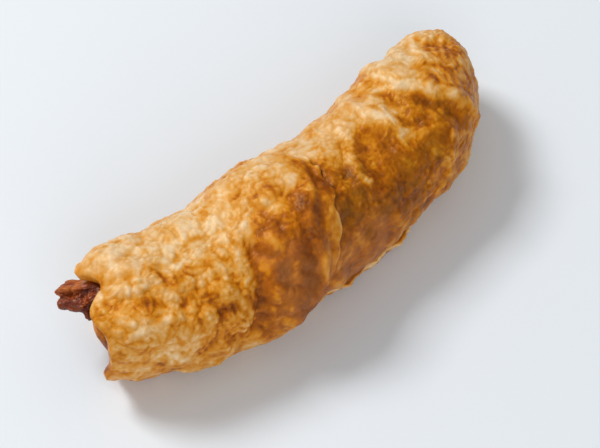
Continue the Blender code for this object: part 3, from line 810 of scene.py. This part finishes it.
def plain_piece(angle):
    """The plain skin from the closed end back under the flap, its inner wall, and its two end points."""
    edge = flap(angle)
    turn_in = np.sin(0.5 * np.pi * np.linspace(TIP_NEAR, 0.0, CAP_RINGS))[:, None]
    cap = X_CAP + (X_TIP - X_CAP) * turn_in + 0.0 * angle
    outer = np.concatenate([cap, evenly(X_CAP - CAP_STEP, edge - PLAIN_REACH, PLAIN_RINGS)])
    face, face_tint = skin(outer, angle, PLAIN)
    back = evenly(edge - BACK_REACH, X_CAP, BACK_RINGS)
    wall = section(back, angle, WALL)
    rise = np.sin(0.5 * np.pi * np.linspace(*INNER_SPAN, INNER_CAP_RINGS))[:, None]
    rings = np.concatenate([face, wall, end_rings(rise, angle, WALL, WALL)])
    inner_tint = one_tint((len(rings) - len(face), len(angle)), INNER_BROWN)
    tip = section(np.array(X_TIP), np.array(0.0))
    return rings, np.concatenate([face_tint, inner_tint]), (tip, tip - WALL * ALONG)


# The filling: how dark it is inside the roll.
CAP_DARK = 0.5
SIDE_DARK = 0.6
FACE_SPAN = (0.02, 0.985)       # the folds' rings, as shares of the way to their middle


def crumpled(face, t, lit, far):
    """The folds' face with lumps and wrinkles along its own outward directions, and how dark it is, with
    painted light and shade in it.
    """
    around = np.roll(face, -1, axis=1) - np.roll(face, 1, axis=1)
    out = np.cross(np.gradient(face, axis=0), around)
    out /= np.maximum(np.linalg.norm(out, axis=-1, keepdims=True), 1e-9)
    wander = swirled(face, 4.0, 1.2, 84)
    lumps, number = pillows(wander, 3.0, 85)
    wrinkles = 1.0 - np.abs(rough_grain(wander * np.array([1.0, 1.0, 0.45]), 2.4, 81))
    creases = np.abs(rough_grain(wander, 1.3, 89))
    height = (0.7 * lumps * (0.4 + 0.6 * number) + 0.6 * wrinkles) * (1.0 - 0.4 * far) - 0.6 + 0.7 * far
    height -= 0.35 * (1.0 - creases) ** 3
    spots = grain(wander, 2.6, 88)
    # paler on lumps and wrinkle ridges as painted highlights, paler where lit as painted light, and where the
    # folds stand furthest out; darker in creases and deep in the mouth as painted shade; the spots are the
    # folds' own colour
    tone = 1.15 - 0.25 * lumps - 0.20 * wrinkles + 0.30 * spots - 0.50 * lit - 0.45 * far - 0.15 * creases
    return face + out * (height * smooth(t, 0.15, 0.5))[..., None], np.clip(tone, 0.0, 1.0)


def fold_reach(aside, up):
    """How far the folds stand out, by the place from the middle of their bulge."""
    reach = FOLD_REACH * np.exp(-((aside / FOLD_WIDE) ** 2 + (up / FOLD_TALL) ** 2) ** FOLD_BLUNT)
    across = (aside + 0.25 * up + np.sin(0.45 * up)) / FOLD_PITCH
    return reach + FOLD_RIDGE * np.sin(2.0 * np.pi * across)


def fold_face(angle, rim):
    """The crumpled face of the folds, from the rim of the filling's side to their middle."""
    t = np.linspace(*FACE_SPAN, FACE_RINGS)[:, None]
    middle = np.array([X_MOUTH + FOLD_SETBACK, bend(X_MOUTH) + FOLD_ASIDE, FOLD_UP])
    face = rim + (middle - rim) * t[..., None]
    aside = face[..., 1] - bend(X_MOUTH) - FOLD_ASIDE
    reach = fold_reach(aside, face[..., 2] - FOLD_UP)
    face[..., 0] -= reach * smooth(t, 0.0, FOLD_RIM)
    lip = mouth(angle) + (X_MOUTH - mouth(angle)) * t
    face[..., 1] += FOLD_LEAN * np.maximum(lip - FOLD_CLEAR - face[..., 0], 0.0)
    # painted light on the upper side of the folds, rising towards the back
    lit = smooth(face[..., 2] + 0.5 * aside, 15.0, 23.0)
    return crumpled(face, t, lit, np.clip(reach / FOLD_REACH, 0.0, 1.0) ** 2)


def fold_piece(angle):
    """The filling from its closed end to the crumpled folds that stand in the mouth."""
    rise = np.cos(0.5 * np.pi * np.linspace(*INNER_SPAN, INNER_CAP_RINGS))[:, None]
    cap = end_rings(rise, angle, WALL + GAP, FILLING_SETBACK)
    body = evenly(X_CAP, mouth(angle) + LIP_CURL_LENGTH, SIDE_RINGS)
    side = section(body, angle, WALL + GAP)
    face, tone = fold_face(angle, side[-1])
    tints = np.concatenate([one_tint(cap.shape[:2], CAP_DARK), one_tint(side.shape[:2], SIDE_DARK),
                            tone[..., None] * BROWNER])
    tip = section(np.array(X_TIP), np.array(0.0)) - FILLING_SETBACK * ALONG
    return np.concatenate([cap, side, face]), tints, (tip, face[-1].mean(axis=0))


def add_object(name, data):
    """A new object in the scene."""
    thing = bpy.data.objects.new(name, data)
    bpy.context.scene.collection.objects.link(thing)
    return thing


def grid_faces(rows, cols, capped):
    """Faces between the rings of a grid, with each end fanned to a point or the two ends joined."""
    number = np.arange(rows * cols).reshape(rows, cols)
    if not capped:
        number = np.concatenate([number, number[:1]])
    right = np.roll(number, -1, axis=1)
    faces = np.stack([number[:-1], number[1:], right[1:], right[:-1]], axis=-1).reshape(-1, 4).tolist()
    if capped:
        first, last = rows * cols, rows * cols + 1
        faces += [[first, a, b] for a, b in zip(number[0].tolist(), right[0].tolist())]
        faces += [[last, b, a] for a, b in zip(number[-1].tolist(), right[-1].tolist())]
    return faces


def make_mesh(name, grid, shift):
    """A closed mesh from rings. With two ends it is a ball of rings, without them a ring of rings."""
    rings, tints, ends = grid
    faces = grid_faces(*rings.shape[:2], ends is not None)
    points = rings.reshape(-1, 3).copy()
    tints = tints.reshape(-1, 3)
    if ends is not None:
        points = np.concatenate([points, np.array(ends)])
        tints = np.concatenate([tints, tints[:1], tints[-1:]])
    points[:, 2] = np.maximum(points[:, 2], 0.0)
    mesh = bpy.data.meshes.new(name)
    mesh.from_pydata(((points - shift) * MM).tolist(), [], faces)
    mesh.shade_smooth()
    # the first tint is how browned the skin is, with painted shade and painted highlights in it
    for column, key in enumerate(("browning_and_painted_light", "olive", "pink")):
        layer = mesh.attributes.new(key, "FLOAT", "POINT")
        layer.data.foreach_set("value", np.ascontiguousarray(tints[:, column], dtype=np.float32))
    return add_object(name, mesh)


# Materials.
SPECKLE_SCALE = 1100.0
SPECKLE_BROWN = 0.30
OLIVE_SHARE = 0.65
PINK_SHARE = 0.45
PORE_SCALE = 2400.0
PORE_DEEP = 0.0002              # metres


def srgb(red, green, blue):
    """A colour as a screen shows it, from 0 to 255, as the shader takes it."""
    parts = np.array([red, green, blue]) / 255.0
    linear = np.where(parts <= 0.04045, parts / 12.92, ((parts + 0.055) / 1.055) ** 2.4)
    return (*linear.tolist(), 1.0)


def ramp(nodes, stops):
    """A colour ramp node with the given stops."""
    node = nodes.new("ShaderNodeValToRGB")
    elements = node.color_ramp.elements
    while len(elements) < len(stops):
        elements.new(0.5)
    for element, (place, colour) in zip(elements, stops):
        element.position = place
        element.color = colour
    return node


def speckles(nodes, links, scale, detail):
    """Noise over the piece's own place, with features about one scale-th of a metre in size."""
    place = nodes.new("ShaderNodeTexCoord")
    node = nodes.new("ShaderNodeTexNoise")
    node.inputs["Scale"].default_value = scale
    node.inputs["Detail"].default_value = detail
    links.new(place.outputs["Object"], node.inputs["Vector"])
    return node.outputs["Fac"]


def attribute(nodes, name):
    """A number that the mesh carries at its points."""
    node = nodes.new("ShaderNodeAttribute")
    node.attribute_name = name
    return node.outputs["Fac"]


def maths(nodes, links, operation, first, second, third=None):
    """One arithmetic node over sockets and numbers."""
    node = nodes.new("ShaderNodeMath")
    node.operation = operation
    for socket, value in zip(node.inputs, (first, second, third)):
        if isinstance(value, bpy.types.NodeSocket):
            links.new(value, socket)
        elif value is not None:
            socket.default_value = value
    return node.outputs[0]


def tinted(nodes, links, colour, kind, share, tint):
    """A colour moved towards a tint by a share of a number that the mesh carries."""
    amount = maths(nodes, links, "MULTIPLY", attribute(nodes, kind), share)
    node = nodes.new("ShaderNodeMix")
    node.data_type = "RGBA"
    links.new(amount, node.inputs["Factor"])
    links.new(colour, node.inputs["A"])
    node.inputs["B"].default_value = tint
    return node.outputs["Result"]


def new_material(name):
    """A material with its nodes, their links and its shader."""
    material = bpy.data.materials.new(name)
    material.use_nodes = True
    nodes, links = material.node_tree.nodes, material.node_tree.links
    return material, nodes, links, nodes["Principled BSDF"]


def skin_colour(nodes, links):
    """The skin's colour, by its browning, with fine speckles, olive and pink."""
    colours = ramp(nodes, (
        (0.00, srgb(238, 207, 162)),
        (0.20, srgb(228, 183, 123)),
        (0.42, srgb(217, 154, 66)),
        (0.60, srgb(206, 128, 16)),
        (0.78, srgb(172, 92, 1)),
        (1.00, srgb(114, 50, 1)),
    ))
    speckle = speckles(nodes, links, SPECKLE_SCALE, 4.0)
    brown = maths(nodes, links, "MULTIPLY_ADD", speckle, SPECKLE_BROWN, attribute(nodes, "browning_and_painted_light"))
    links.new(maths(nodes, links, "SUBTRACT", brown, SPECKLE_BROWN / 2.0), colours.inputs["Fac"])
    colour = tinted(nodes, links, colours.outputs["Color"], "olive", OLIVE_SHARE, srgb(146, 104, 18))
    return tinted(nodes, links, colour, "pink", PINK_SHARE, srgb(192, 126, 72))


def pores(nodes, links):
    """The finest unevenness of the skin."""
    bump = nodes.new("ShaderNodeBump")
    bump.inputs["Strength"].default_value = 0.4
    bump.inputs["Distance"].default_value = PORE_DEEP
    links.new(speckles(nodes, links, PORE_SCALE, 3.0), bump.inputs["Height"])
    return bump.outputs["Normal"]


def skin_material():
    """Oily fried skin, from cream through gold to dark caramel."""
    material, nodes, links, shader = new_material("fried_skin")
    links.new(skin_colour(nodes, links), shader.inputs["Base Color"])
    links.new(pores(nodes, links), shader.inputs["Normal"])
    shader.inputs["Roughness"].default_value = 0.36
    shader.inputs["Specular IOR Level"].default_value = 0.25
    shader.inputs["Specular Tint"].default_value = (1.0, 0.74, 0.4, 1.0)
    shader.inputs["Subsurface Weight"].default_value = 0.15
    shader.inputs["Subsurface Radius"].default_value = (1.0, 0.5, 0.2)
    shader.inputs["Subsurface Scale"].default_value = 0.0008
    return material


def fold_material():
    """Glossy dark red-brown folds of filling."""
    material, nodes, links, shader = new_material("filling_folds")
    colours = ramp(nodes, (
        (0.0, srgb(196, 112, 28)),
        (0.35, srgb(146, 62, 10)),
        (0.65, srgb(98, 28, 6)),
        (1.0, srgb(56, 8, 2)),
    ))
    links.new(attribute(nodes, "browning_and_painted_light"), colours.inputs["Fac"])
    links.new(colours.outputs["Color"], shader.inputs["Base Color"])
    shader.inputs["Roughness"].default_value = 0.4
    shader.inputs["Specular Tint"].default_value = (1.0, 0.7, 0.5, 1.0)
    shader.inputs["Coat Weight"].default_value = 0.12
    shader.inputs["Coat Roughness"].default_value = 0.25
    return material


# The roll in the frame.

def frame_shift(frame):
    """Where the frame's origin is in the roll's own lengths, from the filling's closed end."""
    points = np.array([v.co for v in frame["nodes"]["filling"].data.vertices])
    tip = points[points[:, 0].argmax()] / MM
    return np.array([X_TIP - FILLING_SETBACK - tip[0], bend(X_TIP) - tip[1], 0.0])


def dress(piece, material, node):
    """Gives a piece its material, and lets it stand for a node of the frame."""
    piece.data.materials.append(material)
    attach(piece, "root")
    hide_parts(node)


def make_roll(frame):
    """The three pieces of the roll."""
    shift = frame_shift(frame)
    angle = columns()
    fried = skin_material()
    dress(make_mesh("outer_wrap", wrap_piece(angle), shift), fried, "bean_curd_skin")
    dress(make_mesh("plain_skin", plain_piece(angle), shift), fried, "bean_curd_skin")
    folds = make_mesh("folds", fold_piece(angle), shift)
    dress(folds, fold_material(), "filling")


# Stage, in metres and watts.
ELEVATION = math.radians(57.5)
AZIMUTH = math.radians(-40.4)
DISTANCE = 0.6
LENS = 176.0                    # millimetres, on a sensor of this width
SENSOR = 36.0
NEAREST = 0.01
AIM = Vector((0.0, 0.0, 0.010))
LIGHTS = (
    ("key", 10.5, 0.4, (-0.25, 0.75, 0.95)),    # power, size, place
    ("fill", 5.1, 0.9, (-0.5, -0.9, 0.7)),
)
WORLD_COLOUR = (1.0, 0.99, 0.97, 1.0)
WORLD_STRENGTH = 0.38
FLOOR_SIZE = 6.0
FLOOR_DROP = 0.0001             # just under the roll's flat spot


def add_light(name, power, size, place):
    """A soft square light that points at the roll."""
    light = bpy.data.lights.new(name, "AREA")
    light.energy = power
    light.size = size
    lamp = add_object(name, light)
    lamp.location = place
    lamp.rotation_euler = (AIM - Vector(place)).to_track_quat("-Z", "Y").to_euler()


def add_floor():
    """A pale matt floor."""
    bpy.ops.mesh.primitive_plane_add(size=FLOOR_SIZE, location=(0.0, 0.0, -FLOOR_DROP))
    floor = bpy.context.active_object
    floor.name = "floor"
    material, _, _, shader = new_material("floor")
    shader.inputs["Base Color"].default_value = srgb(226, 232, 238)
    shader.inputs["Roughness"].default_value = 0.6
    floor.data.materials.append(material)


def add_world():
    """Even pale light from all round."""
    world = bpy.data.worlds.new("studio")
    bpy.context.scene.world = world
    world.use_nodes = True
    background = world.node_tree.nodes["Background"]
    background.inputs["Color"].default_value = WORLD_COLOUR
    background.inputs["Strength"].default_value = WORLD_STRENGTH


def add_camera():
    """The camera, above the front side of the roll."""
    flat = math.cos(ELEVATION)
    back = Vector((math.sin(AZIMUTH) * flat, -math.cos(AZIMUTH) * flat, math.sin(ELEVATION)))
    camera = add_object("camera", bpy.data.cameras.new("camera"))
    camera.data.lens = LENS
    camera.data.sensor_width = SENSOR
    camera.data.clip_start = NEAREST
    camera.location = AIM + back * DISTANCE
    camera.rotation_euler = (-back).to_track_quat("-Z", "Y").to_euler()
    bpy.context.scene.camera = camera


def make_stage():
    """Floor, world, lights and camera."""
    add_floor()
    add_world()
    for light in LIGHTS:
        add_light(*light)
    add_camera()
    bpy.context.scene.view_settings.view_transform = "Standard"


def main():
    """Dresses the frame and lights it."""
    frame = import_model()
    make_roll(frame)
    make_stage()


main()
